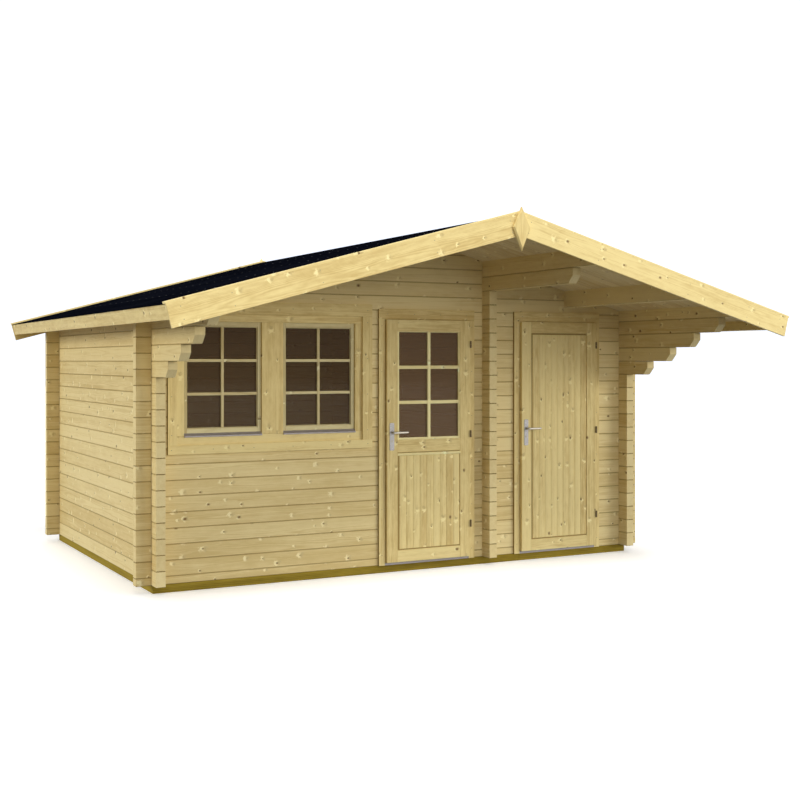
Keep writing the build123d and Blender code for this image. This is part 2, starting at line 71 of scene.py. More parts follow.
# %% [markdown]
# ## The camera
# The picture was taken from the front left, level with a person's eyes. A lens that looks
# straight ahead and is shifted a little keeps all uprights parallel, as a building
# photographer does with a shift lens. Tilting the camera would make the walls lean.

# %% Place the camera
PHOTO_SIDE = 800
FOCAL_PIXELS = 1222.9
HORIZON_PIXEL = 360.7
CENTRE_PIXEL = 401.4
VIEW_TURN = math.radians(-28.096)
EYE = (-4.641, -9.350, 1.660)
SENSOR_WIDTH = 36
FARTHEST = 300


def linked(name, data):
    """A new object in the scene."""
    made = bpy.data.objects.new(name, data)
    scene.collection.objects.link(made)
    return made


lens = bpy.data.cameras.new("eye_level_lens")
lens.sensor_width = SENSOR_WIDTH
lens.lens = FOCAL_PIXELS / PHOTO_SIDE * SENSOR_WIDTH
lens.shift_x = (PHOTO_SIDE / 2 - CENTRE_PIXEL) / PHOTO_SIDE
lens.shift_y = (HORIZON_PIXEL - PHOTO_SIDE / 2) / PHOTO_SIDE
lens.clip_end = FARTHEST
camera = linked("eye_level_camera", lens)
camera.location = EYE
camera.rotation_euler = (math.radians(90), 0, VIEW_TURN)
scene.camera = camera
print("lens", round(lens.lens, 2), "mm")

# %% [markdown]
# ## Shader sums as plain expressions
# A material is a tree of small nodes. Wiring each one by hand hides the idea, so a socket is
# wrapped in a class whose plus, minus and times add the Math nodes. All other nodes come from
# one method that takes the type, its settings and its sockets. The trees that make shapes
# further down use the same method.

# %% A socket that can be added, and a material that makes nodes
def sums(operation, swapped=False):
    """A method that adds one Math node for an operator, with its two sides swapped if asked."""
    def method(self, other):
        first, second = (other, self) if swapped else (self, other)
        return self.finish.flow("ShaderNodeMath", {"operation": operation}, {0: first, 1: second})
    return method


class Flow:
    """One number that varies over a surface."""

    def __init__(self, finish, socket):
        self.finish = finish
        self.socket = socket

    __add__ = sums("ADD")
    __radd__ = sums("ADD", swapped=True)
    __sub__ = sums("SUBTRACT")
    __rsub__ = sums("SUBTRACT", swapped=True)
    __mul__ = sums("MULTIPLY")
    __truediv__ = sums("DIVIDE")
    __rtruediv__ = sums("DIVIDE", swapped=True)
    __pow__ = sums("POWER")
    __lt__ = sums("LESS_THAN")
    __gt__ = sums("GREATER_THAN")


class Wiring:
    """A node tree under construction."""

    def node(self, kind, settings=None, sockets=None):
        """Adds a node; a socket takes a plain value or a link from another node."""
        made = self.tree.nodes.new(kind)
        for key, value in (settings or {}).items():
            setattr(made, key, value)
        for key, value in (sockets or {}).items():
            source = value.socket if isinstance(value, Flow) else value
            if isinstance(source, bpy.types.NodeSocket):
                self.tree.links.new(source, made.inputs[key])
            else:
                made.inputs[key].default_value = value
        return made


class Finish(Wiring):
    """A material, or the world, under construction."""

    def __init__(self, name, blocks=bpy.data.materials):
        self.block = blocks.new(name)
        self.block.use_nodes = True
        self.tree = self.block.node_tree
        self.tree.nodes.clear()

    def flow(self, kind, settings=None, sockets=None, output=0):
        return Flow(self, self.node(kind, settings, sockets).outputs[output])

    def attribute(self, name, output="Fac"):
        return self.flow("ShaderNodeAttribute", {"attribute_name": name}, {}, output)

    def parts(self, vector):
        split = self.node("ShaderNodeSeparateXYZ", {}, {"Vector": vector})
        return [Flow(self, split.outputs[axis]) for axis in range(3)]

    def vector(self, x, y, z):
        return self.flow("ShaderNodeCombineXYZ", {}, {"X": x, "Y": y, "Z": z})

    def noise(self, vector, scale, detail=2.0, rough=0.5):
        sockets = {"Vector": vector, "Scale": scale, "Detail": detail, "Roughness": rough}
        return self.flow("ShaderNodeTexNoise", {}, sockets)

    def mix(self, share, first, second):
        return self.flow("ShaderNodeMix", {"data_type": "RGBA"}, {0: share, 6: first, 7: second}, 2)

    def ease(self, value, low, high):
        sockets = {"Value": value, "From Min": low, "From Max": high}
        return self.flow("ShaderNodeMapRange", {"interpolation_type": "SMOOTHSTEP"}, sockets)

    def bump(self, height, depth, strength):
        sockets = {"Height": height, "Distance": depth, "Strength": strength}
        return self.flow("ShaderNodeBump", {}, sockets)

    def close(self, **sockets):
        """Ends the tree in one Principled shader."""
        named = {}
        for key, value in sockets.items():
            named[key.replace("_", " ").title().replace("Ior", "IOR")] = value
        shader = self.flow("ShaderNodeBsdfPrincipled", {}, named)
        self.node("ShaderNodeOutputMaterial", {}, {"Surface": shader})
        return self.block


def shade(red, green, blue):
    """A colour given in screen values from 0 to 255, as the linear value Blender wants."""
    def linear(value):
        share = value / 255
        return share / 12.92 if share <= 0.04045 else ((share + 0.055) / 1.055) ** 2.4
    return (linear(red), linear(green), linear(blue), 1.0)


print("shader toolkit ready")

# %% [markdown]
# ## Spruce
# Spruce is pale yellow. Each year leaves a light band and a thin darker one, so a log is a
# stack of cones about its heart, and a sawn face shows long flame shapes and lines. Branches
# leave round dark knots, and the fibres swerve round them. A picture could be wrapped on, but
# a solid pattern is better here: it runs through the end grain, and no two logs look alike.
# Each stick carries its own place in the pattern as an attribute, with the first coordinate
# along the fibres, the second across its wide face and the third through its thickness.

# %% One function makes every kind of spruce
KNOT_CELL = (3.4, 10.5)
KNOT_RADIUS = (0.0032, 0.0078)
KNOT_OVAL = 0.62
WHORL_RADIUS = (0.013, 0.017)
SWERVE = (900, 3600)
# The pale colour of fresh end grain, also used for the painted highlight beside knots
FRESH_AND_HIGHLIGHT_GAIN = (1.12, 1.17, 1.28, 1.0)
SAWN_SHARE = (0.96, 0.93, 0.86, 1.0)
# Dark joint colour, which also paints crease shade in the log joints and shade beside casings and in panel
# grooves
JOINT_AND_SHADE_SHARE = (0.43, 0.37, 0.25, 1.0)
KNOT_WOOD = (108, 74, 38)


def scaled(colour, shares):
    """A colour with each channel multiplied, up to full."""
    return tuple(min(1.0, value * share) for value, share in zip(colour, shares))


def between(first, second, share):
    """A colour on the way from one to another."""
    return tuple(a * (1 - share) + b * share for a, b in zip(first, second))


def spruce(name, pale, late, knot=KNOT_WOOD, ring=0.0065, knot_share=0.46, rough=0.55, mottled=0.5):
    """Sawn wood: ring is the width of a year, knot_share how many cells hold a knot."""
    f = Finish(name)
    pale, late, knot = (shade(*colour) for colour in (pale, late, knot))
    grain = f.attribute("grain", "Vector")
    along, across, depth = f.parts(grain)
    tone = f.attribute("tone")
    end = f.attribute("end_grain")
    joint_and_shade = f.attribute("joint_and_shade")

    # Knots sit at the points of a loose net of cells
    cell = f.vector(along * KNOT_CELL[0], across * KNOT_CELL[1], 0.0)
    net = f.node("ShaderNodeTexVoronoi", {"voronoi_dimensions": "2D"}, {"Vector": cell, "Scale": 1.0})
    point = f.flow("ShaderNodeVectorMath", {"operation": "SUBTRACT"},
                   {0: Flow(f, net.outputs["Position"]), 1: cell})
    step_x, step_y, _ = f.parts(point)
    step_along = step_x / KNOT_CELL[0]
    step_across = step_y / KNOT_CELL[1]
    luck = f.node("ShaderNodeSeparateColor", {}, {"Color": Flow(f, net.outputs["Color"])})
    chance = Flow(f, luck.outputs[0])
    present = (chance < knot_share) * (1 - end)
    patch = (chance < knot_share * 2) * (1 - end)
    radius = KNOT_RADIUS[0] + Flow(f, luck.outputs[1]) ** 2 * KNOT_RADIUS[1]
    ragged = f.noise(grain, 160, 2.0) - 0.5
    along_square = step_along * step_along
    across_square = step_across * step_across
    away = (along_square * KNOT_OVAL + across_square) ** 0.5
    reach = away / radius + ragged * 0.7
    core = (1 - f.ease(reach, 0.55, 1.05)) * present
    collar = (1 - f.ease(reach, 0.95, 1.75)) * present
    whorl = away / (WHORL_RADIUS[0] + Flow(f, luck.outputs[2]) * WHORL_RADIUS[1])
    whorl = whorl + (f.noise(grain, 60, 3.0) - 0.5) * 2.0
    side = step_along / (away + 0.002)
    swell = 1 / (1 + along_square * SWERVE[0] + across_square * SWERVE[1]) * patch

    # Year rings about the heart, bent round the knots
    drift = f.noise(f.vector(along * 0.55, across * 2.4, depth * 2.4), 1.0, 2.0) - 0.5
    bent = across - step_across * swell * 0.75
    heart = (bent * bent + depth * depth) ** 0.5 + drift * 0.05
    wave = f.flow("ShaderNodeMath", {"operation": "SINE"}, {0: heart * (2 * math.pi / ring)})
    rings = (wave * 0.5 + 0.5) ** 2.2

    # Fibres, and slow changes of tone along a stick
    fibre = f.noise(f.vector(along * 2.2, bent * 95, depth * 95), 1.0, 3.0, 0.65)
    streak = f.noise(f.vector(along * 0.9, bent * 26, depth * 26), 1.0, 2.0)
    cloud = f.noise(f.vector(along * 3.1, across * 5, depth * 5), 1.0, 2.0)
    mottle = f.noise(f.vector(along * 11, bent * 42, depth * 42), 1.0, 2.0, 0.6)
    speck = f.ease(f.noise(f.vector(along * 60, bent * 260, depth * 260), 1.0, 1.0), 0.66, 0.75)

    # Light and dark wood, a painted highlight on one side of each whorl and painted shade on the other,
    # the knot, the sawn end, and the dark joints with painted shade
    band = rings * 0.34 + (streak - 0.5) + (fibre - 0.5) * 0.5 + (cloud - 0.5) * 0.55
    band = band + (mottle - 0.5) * mottled + tone * 0.42
    colour = f.mix(f.ease(band, -0.35, 0.95), pale, late)
    bright = scaled(pale, FRESH_AND_HIGHLIGHT_GAIN)
    # A painted highlight on one side of each whorl and painted shade on the other side
    painted_highlight = (1 - f.ease(whorl, 0.45, 1.0)) * (0.4 + f.ease(side, -0.6, 0.7) * 0.6) * patch
    shadow = (1 - f.ease(whorl, 0.3, 1.1)) * (1 - f.ease(side, -1.0, -0.1)) * patch
    colour = f.mix(painted_highlight * 0.95, colour, bright)
    colour = f.mix(shadow * 0.55, colour, between(late, knot, 0.4))
    colour = f.mix(speck * 0.10, colour, late)
    colour = f.mix(collar * 0.55, colour, between(knot, late, 0.55))
    colour = f.mix(core * 0.8, colour, knot)
    colour = f.mix(end * 0.25, colour, bright)
    colour = f.mix(end * rings * 0.2, colour, scaled(late, SAWN_SHARE))
    # Dark joints, with painted shade in the creases of the log joints, beside the casings and in the panel
    # grooves
    colour = f.mix(joint_and_shade * 0.8, colour, scaled(late, JOINT_AND_SHADE_SHARE))
    height = rings * 0.35 + fibre * 0.5 - core * 0.5
    return f.close(
        base_color=colour,
        roughness=rough + (fibre - 0.5) * 0.18 - core * 0.12,
        normal=f.bump(height, 0.0008, 0.35),
        specular_ior_level=0.06,
    )


JOINERY = {"ring": 0.005, "rough": 0.5, "mottled": 0.9}
log_spruce = spruce("log_spruce", (238, 218, 160), (212, 186, 124))
board_spruce = spruce("board_spruce", (240, 219, 154), (206, 177, 112), knot_share=0.5, **JOINERY)
sash_spruce = spruce("sash_spruce", (226, 213, 163), (194, 174, 122), knot_share=0.4, **JOINERY)
# Paler, clear spruce, brightened further as painted light that lifts the door's glazing bars and weather
# bar out of the canopy's shade
bar_spruce = spruce("bar_spruce", (255, 243, 182), (228, 208, 142), knot_share=0.3, **JOINERY)
roof_spruce = spruce("roof_spruce", (230, 212, 164), (202, 178, 126), ring=0.006, knot_share=0.5, rough=0.6)
# The foundation beams' stained wood, also used as painted shade on the window casing's left edge face
treated_wood_and_slot_shade = spruce("treated_wood_and_slot_shade", (170, 146, 55), (121, 101, 31), (70, 54, 18),
                      ring=0.008, knot_share=0.0, rough=0.7)
print("spruce finishes ready")

# %% [markdown]
# ## Metal, felt and glass
# Roofing felt is black bitumen with fine mineral grit, dull and slightly blue. Glass in the
# real cabin is clear, and looks brown because the rooms behind it are dark, so a pane that lets
# more than half of the light through and has a brown tint does the same. Plates and levers are
# satin metal, with fine brush lines, the strips under doors and sashes are mill-finish
# aluminium, and the hinges are coated steel.

# %% The other finishes
def placed(f):
    return f.flow("ShaderNodeTexCoord", {}, {}, "Object")


def roofing_felt(name):
    f = Finish(name)
    place = placed(f)
    grit = f.noise(place, 420, 2.0, 0.7)
    weather = f.noise(place, 2.2, 4.0, 0.6) + f.attribute("tone") * 0.12
    colour = f.mix(f.ease(grit, 0.45, 0.78), shade(3, 4, 9), shade(25, 27, 35))
    colour = f.mix(f.ease(weather, 0.4, 0.75) * 0.5, colour, shade(17, 19, 27))
    return f.close(base_color=colour, roughness=0.9 + (grit - 0.5) * 0.16,
                   normal=f.bump(grit, 0.0012, 0.5), specular_ior_level=0.0)


def satin_metal(name, light, dark, rough, stretch, metallic=1.0):
    """Brushed metal: stretch says how close the brush lines are along each axis."""
    f = Finish(name)
    x, y, z = f.parts(placed(f))
    brush = f.noise(f.vector(x * stretch[0], y * stretch[1], z * stretch[2]), 1.0, 3.0, 0.6)
    smear = f.noise(placed(f), 14, 2.0)
    return f.close(base_color=f.mix(f.ease(brush, 0.3, 0.7), shade(*light), shade(*dark)),
                   roughness=rough + (brush - 0.5) * 0.16 + (smear - 0.5) * 0.12,
                   metallic=metallic, normal=f.bump(brush, 0.0002, 0.25))


def window_glass(name, tint, haze):
    f = Finish(name)
    ripple = f.noise(placed(f), 3.0, 1.0)
    film = f.noise(placed(f), 9.0, 3.0)
    return f.close(base_color=f.mix(film * 0.3, shade(*tint), shade(*haze)),
                   roughness=0.03 + film * 0.03, alpha=0.42, specular_ior_level=0.12,
                   normal=f.bump(ripple, 0.002, 0.02), ior=1.5)


felt_black = roofing_felt("felt_black")
plate_metal = satin_metal("plate_metal", (156, 154, 152), (130, 128, 127), 0.52, (40, 40, 700), 0.85)
lever_metal = satin_metal("lever_metal", (172, 166, 154), (144, 139, 129), 0.42, (60, 500, 500))
strip_metal = satin_metal("strip_metal", (170, 163, 160), (140, 134, 133), 0.6, (20, 600, 600), 0.4)
hinge_metal = satin_metal("hinge_metal", (122, 102, 64), (94, 78, 46), 0.5, (90, 90, 90), 0.3)
nail_metal = satin_metal("nail_metal", (176, 164, 132), (146, 134, 104), 0.5, (200, 200, 200), 0.6)
# Dark metal for the felt nails, also painted shade for the keyholes
dark_metal_and_keyhole_shade = satin_metal("dark_metal_and_keyhole_shade", (38, 36, 34), (22, 21, 20), 0.5, (150, 150, 150), 0.5)
pane_glass = window_glass("pane_glass", (106, 85, 62), (116, 95, 70))
door_glass = window_glass("door_glass", (142, 114, 86), (152, 124, 94))
print("other finishes ready")

# %% [markdown]
# ## Planing the logs and boards
# The frame's logs are exact but bare: one node holds many sticks, with knife-sharp edges. A
# copy of each node is welded, its flat faces are joined up and its sharp edges are eased, as a
# planer and a sandpaper block do. Then every stick gets its own place in the wood pattern. A
# texture that reads plain object coordinates would run straight through all logs of a wall,
# so each stick's fibres follow its own longest side, with a start of its own.

# %% A copy of a node with eased edges and a grain for every stick
WELD = 2e-5
FLAT = math.radians(0.5)
SHARP = math.radians(50)
SQUARE_ON = 0.9
UPRIGHT = 0.1
END_FACING = 0.55
SIDE_TILT = 0.2
JOINT_TILT = (0.5, 0.87)
JOINT_AREA = 0.0006
END_JOINT = 0.0035
END_EDGE = 0.1
WALL_JOINT = 0.6
GRAIN_REACH = 40
HEART_SIDE = 0.04
HEART_DEPTH = (0.03, 0.11)
TONE_SPREAD = 0.4


def sticks_of(bm):
    """The faces of each loose stick, in the order of the mesh."""
    seen = set()
    sticks = []
    for first in bm.faces:
        if first in seen:
            continue
        seen.add(first)
        stick = [first]
        for face in stick:
            for edge in face.edges:
                fresh = [other for other in edge.link_faces if other not in seen]
                seen.update(fresh)
                stick.extend(fresh)
        sticks.append(stick)
    return sticks


def stick_axes(points, lean, level):
    """Length, width and thickness directions of a stick, and its middle."""
    turns = [Matrix.Identity(3)]
    if lean:
        turns = [Matrix.Rotation(sign * lean, 3, "Y") for sign in (-1, 1)]
    best = None
    for turn in turns:
        axes = [turn @ Vector(a) for a in ((1, 0, 0), (0, 1, 0), (0, 0, 1))]
        spans = []
        for axis in axes:
            along = [axis.dot(p) for p in points]
            spans.append((max(along) - min(along), (max(along) + min(along)) / 2, axis))
        spans.sort(key=lambda span: -span[0])
        if level and abs(spans[2][2].z) > SQUARE_ON:
            spans[1], spans[2] = spans[2], spans[1]
        size = spans[0][0] * spans[1][0] * spans[2][0]
        if best is None or size < best[0]:
            best = (size, spans)
    return best[1]


def set_grain(mesh, lean=0.0, seams=False):
    """Writes the wood attributes of every loose stick of a mesh."""
    bm = bmesh.new()
    bm.from_mesh(mesh)
    place = bm.verts.layers.float_vector.new("grain")
    tone = bm.verts.layers.float.new("tone")
    end = bm.faces.layers.float.new("end_grain")
    joint_and_shade = bm.faces.layers.float.new("joint_and_shade")
    for stick in sticks_of(bm):
        verts = {v for face in stick for v in face.verts}
        spans = stick_axes([v.co for v in verts], lean, seams)
        key = ",".join(f"{span[0]:.2f}:{span[1]:.2f}" for span in spans)
        luck = random.Random(key)
        start = (luck.uniform(-GRAIN_REACH, GRAIN_REACH), luck.uniform(-HEART_SIDE, HEART_SIDE),
                 luck.uniform(*HEART_DEPTH))
        shade_of_stick = luck.gauss(0, TONE_SPREAD)
        for v in verts:
            v[place] = [axis.dot(v.co) - middle + begin
                        for (_, middle, axis), begin in zip(spans, start)]
            v[tone] = max(-1.0, min(1.0, shade_of_stick))
        for face in stick:
            tilt = [abs(face.normal.dot(span[2])) for span in spans]
            face[end] = float(tilt[0] > END_FACING)
            # The chamfer faces of log joints get the dark joint mark, which also paints the shade of the
            # crease
            slanted = JOINT_TILT[0] < tilt[1] < JOINT_TILT[1]
            along_joint = slanted and tilt[0] < SIDE_TILT
            end_joint = slanted and tilt[2] < SIDE_TILT and face.calc_area() < JOINT_AREA
            if seams and (along_joint or end_joint):
                face[joint_and_shade] = 1.0 if end_joint else WALL_JOINT
    bm.to_mesh(mesh)
    bm.free()


def is_end_joint(edge):
    """An edge between a log's end and its top or underside, which shows as a dark joint with painted crease
    shade.
    """
    normals = [face.normal for face in edge.link_faces]
    level = any(abs(n.z) > SQUARE_ON for n in normals)
    upright = any(abs(n.z) < UPRIGHT for n in normals)
    return level and upright and edge.calc_length() < END_EDGE


def welded(node):
    """A node's mesh, with corners that coincide made one."""
    bm = bmesh.new()
    bm.from_mesh(frame["nodes"][node].data)
    bmesh.ops.remove_doubles(bm, verts=bm.verts, dist=WELD)
    return bm


def planed(node, material, ease, lean=0.0, seams=False):
    """Stands in for a node: welded, eased and grained."""
    bm = welded(node)
    bmesh.ops.dissolve_limit(bm, angle_limit=FLAT, verts=bm.verts, edges=bm.edges)
    sharp = [e for e in bm.edges if e.is_convex and e.calc_face_angle(0) > SHARP]
    if seams:
        joints = [e for e in sharp if is_end_joint(e)]
        sharp = [e for e in sharp if e not in joints]
        bmesh.ops.bevel(bm, geom=joints, offset=END_JOINT, segments=1, affect="EDGES")
        sharp = [e for e in sharp if e.is_valid]
    bmesh.ops.bevel(bm, geom=sharp, offset=ease, segments=2, profile=0.5, affect="EDGES")
    mesh = bpy.data.meshes.new(f"planed_{node}")
    bm.to_mesh(mesh)
    bm.free()
    set_grain(mesh, lean, seams)
    mesh.materials.append(material)
    piece = linked(f"planed_{node}", mesh)
    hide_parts(node)
    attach(piece, body_of_node[node])
    print(piece.name, len(mesh.polygons), "faces")
    return piece


body_of_node = {n: b for b, ns in frame["record"]["behaviour"]["bodies"].items() for n in ns}
slot_of_node = {s["node"]: s["material_slot"] for s in frame["record"]["subparts"]}
LOG_EASE = 0.001
for node in [n for n, s in slot_of_node.items() if s == "log_wood"]:
    planed(node, log_spruce, LOG_EASE, seams=True)

# %% [markdown]
# ## Boards and joinery
# Bargeboards and their cover strips lean with the roof, so their grain is told the roof's angle.
# Fascias, finials, frames and doors are upright and level boards, often many in one node, and
# each board finds its own longest side. The window's casing leaves a slot beside the corner logs.
# The left edge faces of the casings, where they meet the logs, carry painted shade: the dark joint
# mix, and on the window's casing the dark beam finish.

# %% Boards of the verge, the window and the doors
ROOF_LEAN = math.radians(15.15)
BOARD_EASE = 0.002
BEAM_EASE = 0.003
STRIP_EASE = 0.0012
PLATE_EASE = 0.0008
CASING_GAP = 0.013
leaning = ("bargeboards", "verge_cover_strips")
level = ("eave_fascias", "finials", "window_casing", "window_frame", "window_sashes",
         "main_door_frame", "store_door_frame", "main_door_leaf", "store_door_leaf")
boards = {}
for node in leaning + level:
    wood = sash_spruce if node == "window_sashes" else board_spruce
    boards[node] = planed(node, wood, BOARD_EASE, lean=ROOF_LEAN if node in leaning else 0.0).data
# Painted shade on the casings' left edge faces beside the corner logs, and the dark beam finish on the
# window casing's
for node in ("window_casing", "main_door_frame", "store_door_frame"):
    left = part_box(node)[0].x + CASING_GAP
    mesh = boards[node]
    if node == "window_casing":
        mesh.materials.append(treated_wood_and_slot_shade)
    for face in mesh.polygons:
        if face.center.x < left and face.normal.x < -SQUARE_ON:
            mesh.attributes["joint_and_shade"].data[face.index].value = 1.0
            face.material_index = len(mesh.materials) - 1
case_low, case_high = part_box("window_casing")
for vertex in boards["window_casing"].vertices:
    if vertex.co.x < case_low.x + CASING_GAP / 2 and vertex.co.y < case_low.y + CASING_GAP * 2:
        vertex.co.x += CASING_GAP
planed("foundation_beams", treated_wood_and_slot_shade, BEAM_EASE)
for node in ("main_door_threshold", "store_door_threshold", "window_drip_strips"):
    planed(node, strip_metal, STRIP_EASE)
for node in ("main_door_plates", "store_door_plates"):
    planed(node, plate_metal, PLATE_EASE)

# %% [markdown]
# ## Rows of boards with Geometry Nodes
# Doors, roof and floor are closed with tongue-and-groove boards. They repeat, so one node tree
# makes them: a line is swept with a rectangle whose corners are rounded, and the stick is set
# on a row of points. Each copy shifts its grain by a random amount with a fixed seed. An Array
# modifier could repeat a board too, but all copies would then show the same knots.

# %% The node tree for a row of sticks
class Recipe(Wiring):
    """A Geometry Nodes tree under construction, with named inputs."""

    def __init__(self, name, inputs):
        self.tree = bpy.data.node_groups.new(name, "GeometryNodeTree")
        face = self.tree.interface
        face.new_socket("Geometry", in_out="INPUT", socket_type="NodeSocketGeometry")
        self.ids = {}
        for title, kind in inputs:
            made = face.new_socket(title, in_out="INPUT", socket_type=f"NodeSocket{kind}")
            self.ids[title] = made.identifier
        face.new_socket("Geometry", in_out="OUTPUT", socket_type="NodeSocketGeometry")
        self.given = self.tree.nodes.new("NodeGroupInput")

    def get(self, title):
        return self.given.outputs[title]

    def out(self, kind, settings=None, sockets=None, output=0):
        return self.node(kind, settings, sockets).outputs[output]

    def maths(self, operation, first, second):
        return self.out("ShaderNodeMath", {"operation": operation}, {0: first, 1: second})

    def store(self, geometry, title, data_type, domain, value):
        return self.out("GeometryNodeStoreNamedAttribute", {"data_type": data_type, "domain": domain},
                        {"Geometry": geometry, "Name": title, "Value": value})

    def close(self, geometry, material):
        real = self.out("GeometryNodeRealizeInstances", {}, {"Geometry": geometry})
        done = self.out("GeometryNodeSetMaterial", {}, {"Geometry": real, "Material": material})
        self.node("NodeGroupOutput", {}, {0: done})

    def make(self, values, points=()):
        """Runs the tree once and returns a plain mesh."""
        mesh = bpy.data.meshes.new("points")
        mesh.from_pydata([p[0] for p in points], [], [])
        if points:
            facing = mesh.attributes.new("facing", "FLOAT_VECTOR", "POINT")
            facing.data.foreach_set("vector", [x for p in points for x in p[1]])
        holder = linked("holder", mesh)
        modifier = holder.modifiers.new("recipe", "NODES")
        modifier.node_group = self.tree
        for title, value in values.items():
            modifier[self.ids[title]] = value
        holder.update_tag()
        graph = bpy.context.evaluated_depsgraph_get()
        made = bpy.data.meshes.new_from_object(holder.evaluated_get(graph))
        bpy.data.objects.remove(holder)
        return made


CORNER_STEPS = 2
END_SQUARE = 0.8
SHIFT_LOW = (-40.0, -0.05, 0.02)
SHIFT_HIGH = (40.0, 0.05, 0.09)
TONE_REACH = 0.8
TONE_SEED = 7
row = Recipe("stick_row", [
    ("Count", "Int"), ("Length", "Float"), ("Width", "Float"),
    ("Thickness", "Float"), ("Round", "Float"), ("Start", "Vector"),
    ("Step", "Vector"), ("Turn", "Vector"), ("Seed", "Int"),
    ("Material", "Material"),
])
far_end = row.maths("MULTIPLY", row.get("Length"), 0.5)
near_end = row.maths("MULTIPLY", row.get("Length"), -0.5)
line = row.out("GeometryNodeCurvePrimitiveLine", {}, {
    "Start": row.out("ShaderNodeCombineXYZ", {}, {"X": near_end}),
    "End": row.out("ShaderNodeCombineXYZ", {}, {"X": far_end}),
})
outline = row.out("GeometryNodeCurvePrimitiveQuadrilateral", {}, {
    "Width": row.get("Width"), "Height": row.get("Thickness"),
})
rounded = row.out("GeometryNodeFilletCurve", {"mode": "POLY"}, {
    "Curve": outline, "Count": CORNER_STEPS, "Radius": row.get("Round"), "Limit Radius": True,
})
stick = row.out("GeometryNodeCurveToMesh", {}, {
    "Curve": line, "Profile Curve": rounded, "Fill Caps": True,
})
place = row.out("GeometryNodeInputPosition")
stick = row.store(stick, "grain", "FLOAT_VECTOR", "POINT", place)
normal_x = row.out("ShaderNodeSeparateXYZ", {}, {"Vector": row.out("GeometryNodeInputNormal")})
square_x = row.maths("MULTIPLY", normal_x, normal_x)
stick = row.store(stick, "end_grain", "FLOAT", "FACE", row.maths("GREATER_THAN", square_x, END_SQUARE))
points = row.out("GeometryNodeMeshLine", {}, {
    "Count": row.get("Count"), "Start Location": row.get("Start"), "Offset": row.get("Step"),
})
turned = row.out("FunctionNodeEulerToRotation", {}, {"Euler": row.get("Turn")})
copies = row.out("GeometryNodeInstanceOnPoints", {}, {
    "Points": points, "Instance": stick, "Rotation": turned,
})
shift = row.out("FunctionNodeRandomValue", {"data_type": "FLOAT_VECTOR"}, {
    0: SHIFT_LOW, 1: SHIFT_HIGH, "Seed": row.get("Seed"),
})
copies = row.store(copies, "shift", "FLOAT_VECTOR", "INSTANCE", shift)
luck = row.out("FunctionNodeRandomValue", {"data_type": "FLOAT"}, {
    2: -TONE_REACH, 3: TONE_REACH, "Seed": row.maths("ADD", row.get("Seed"), TONE_SEED),
}, 1)
copies = row.store(copies, "tone", "FLOAT", "INSTANCE", luck)
sticks = row.out("GeometryNodeRealizeInstances", {}, {"Geometry": copies})
own = row.out("GeometryNodeInputNamedAttribute", {"data_type": "FLOAT_VECTOR"}, {"Name": "grain"})
moved = row.out("GeometryNodeInputNamedAttribute", {"data_type": "FLOAT_VECTOR"}, {"Name": "shift"})
summed = row.out("ShaderNodeVectorMath", {"operation": "ADD"}, {0: own, 1: moved})
sticks = row.store(sticks, "grain", "FLOAT_VECTOR", "POINT", summed)
row.close(sticks, row.get("Material"))
print("stick row tree has", len(row.tree.nodes), "nodes")

# %% [markdown]
# ## Boarded doors
# Both doors are closed with narrow upright boards between the stiles and rails. The boards
# touch, and their rounded edges leave the fine V joints that show as lines. A groove beside,
# under and over each panel holds a strip of painted shade at its bottom and shows as a dark
# line, and the main door has a bar under its lock rail.

# %% Helpers for rows, and the door panels
UP = (0, 0, 1)
RIGHT = (1, 0, 0)
BACK = (0, 1, 0)
BOARD_EDGE = 0.003
PANEL_EDGE = 0.004
FINE_EDGE = 0.0003


def laid(axes, size, start, step, count, edge, material, seed):
    """Equal sticks side by side, with the ways their length and width run and their three sizes."""
    x, y = (Vector(axis).normalized() for axis in axes)
    length, width, thickness = size
    return row.make({
        "Count": count, "Length": length, "Width": width, "Thickness": thickness, "Round": edge,
        "Start": tuple(start), "Step": tuple(step), "Seed": seed, "Material": material,
        "Turn": tuple(Matrix((x, y, x.cross(y))).transposed().to_euler()),
    })


def sticks_in(low, high, length_axis, width_axis, material, seed, count=1, edge=BOARD_EDGE):
    """Fills a box with sticks side by side, given by which way they run and stack."""
    span = Vector(high) - Vector(low)
    length, width = (abs(span.dot(Vector(axis))) for axis in (length_axis, width_axis))
    thickness = abs(span.dot(Vector(length_axis).cross(Vector(width_axis))))
    step = Vector(width_axis) * (width / count)
    middle = (Vector(low) + Vector(high)) / 2
    return laid((length_axis, width_axis), (length, width / count, thickness),
                middle - step * ((count - 1) / 2), step, count, edge, material, seed)


def assembled(name, meshes, body, replaced=()):
    """One piece on one body from several meshes."""
    parts = [linked(name, mesh) for mesh in meshes]
    if len(parts) > 1:
        with bpy.context.temp_override(active_object=parts[0], selected_editable_objects=parts):
            bpy.ops.object.join()
    piece = parts[0]
    piece.name = name
    piece.data.name = name
    if replaced:
        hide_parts(*replaced)
    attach(piece, body)
    print(name, len(piece.data.polygons), "faces")


def groove_shade_strip(low, high, length_axis, width_axis, seed):
    """A strip in the bottom of a groove, with the log joints' dark mix as painted shade."""
    strip = sticks_in(low, high, length_axis, width_axis, board_spruce, seed, 1, FINE_EDGE)
    mark = strip.attributes.new("joint_and_shade", "FLOAT", "FACE")
    mark.data.foreach_set("value", [1.0] * len(strip.polygons))
    return strip


